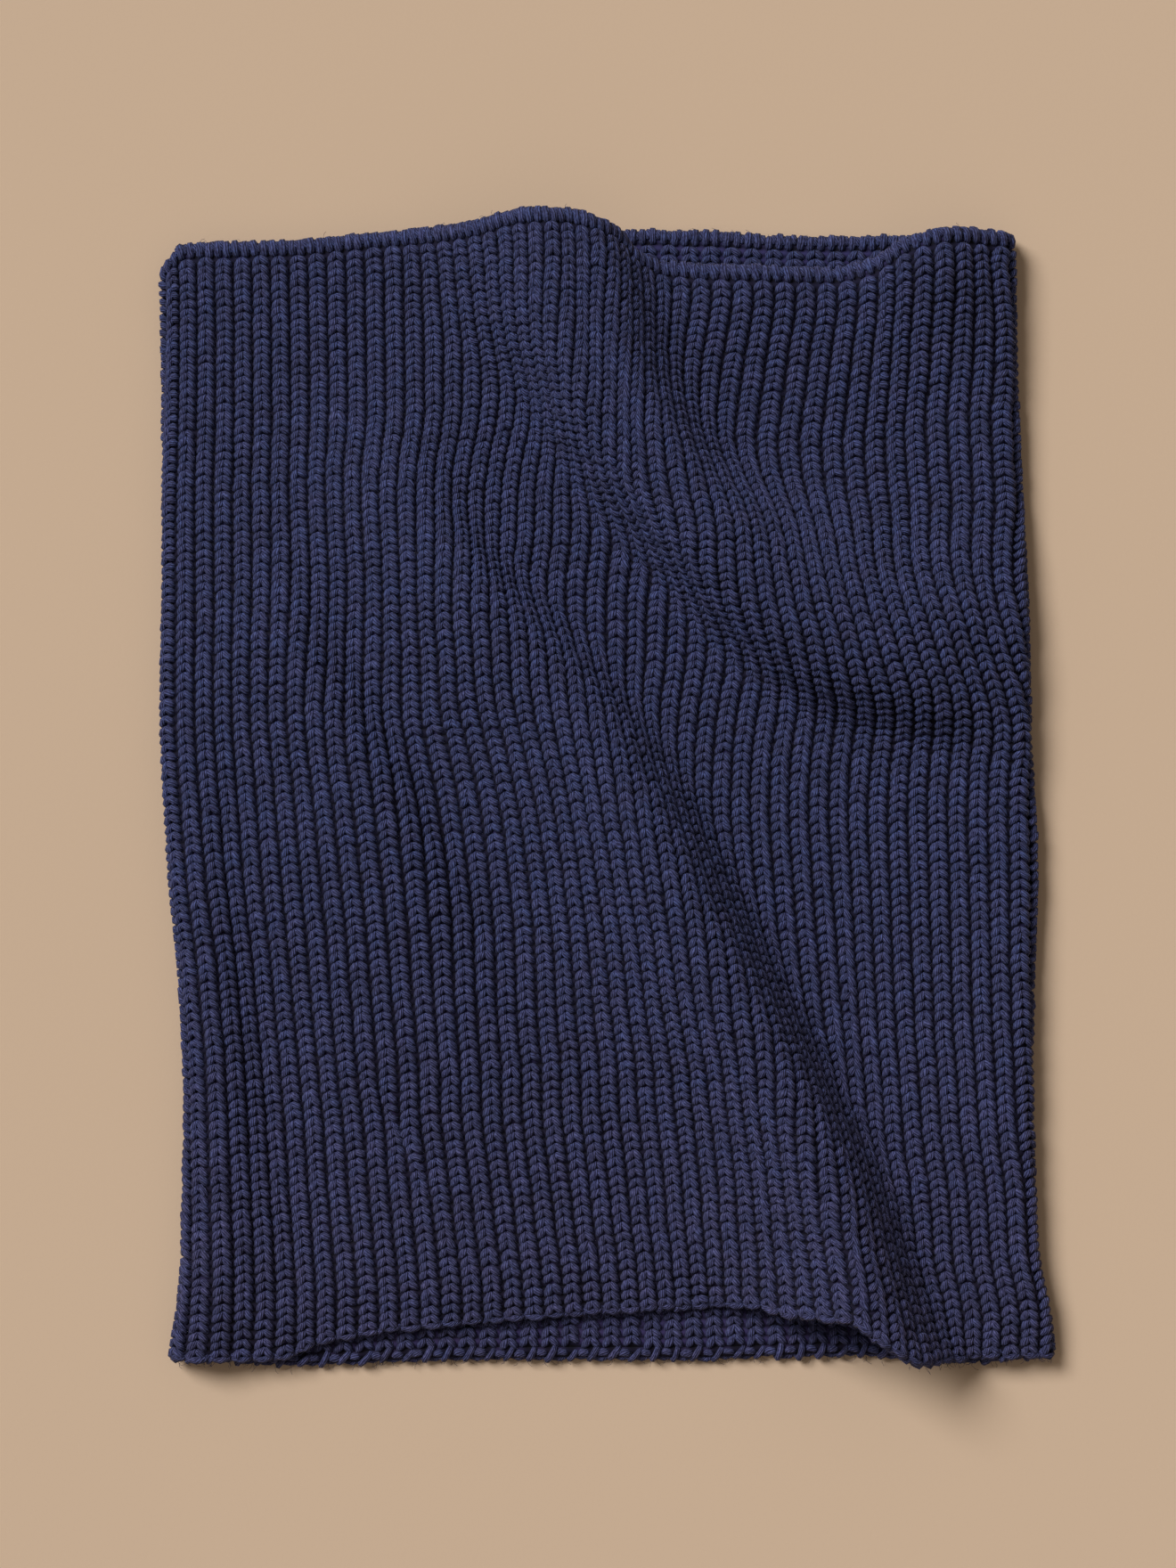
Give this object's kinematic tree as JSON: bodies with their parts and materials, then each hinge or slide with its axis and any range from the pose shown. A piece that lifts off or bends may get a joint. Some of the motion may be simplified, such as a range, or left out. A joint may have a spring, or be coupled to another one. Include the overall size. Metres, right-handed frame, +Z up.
{
  "type": "knitted snood",
  "caption": "Wide seamless tube of chunky rib knit, worn round the neck or over the head, lying flat with both ends open and soft slanting folds in its upper layer.",
  "frame": {"origin": "on the surface that the tube lies on, under the middle of its bounding box", "axes": "+Z up from the surface, +Y along the tube to its rolled starting edge, +X across the flat tube to the right as seen from above"},
  "size_m": [0.2714, 0.3476, 0.0352],
  "materials": {
    "navy_wool": "matte, softly hairy plied wool"
  },
  "bodies": {
    "root": {"knit_tube": "navy_wool"}
  },
  "joints": []
}
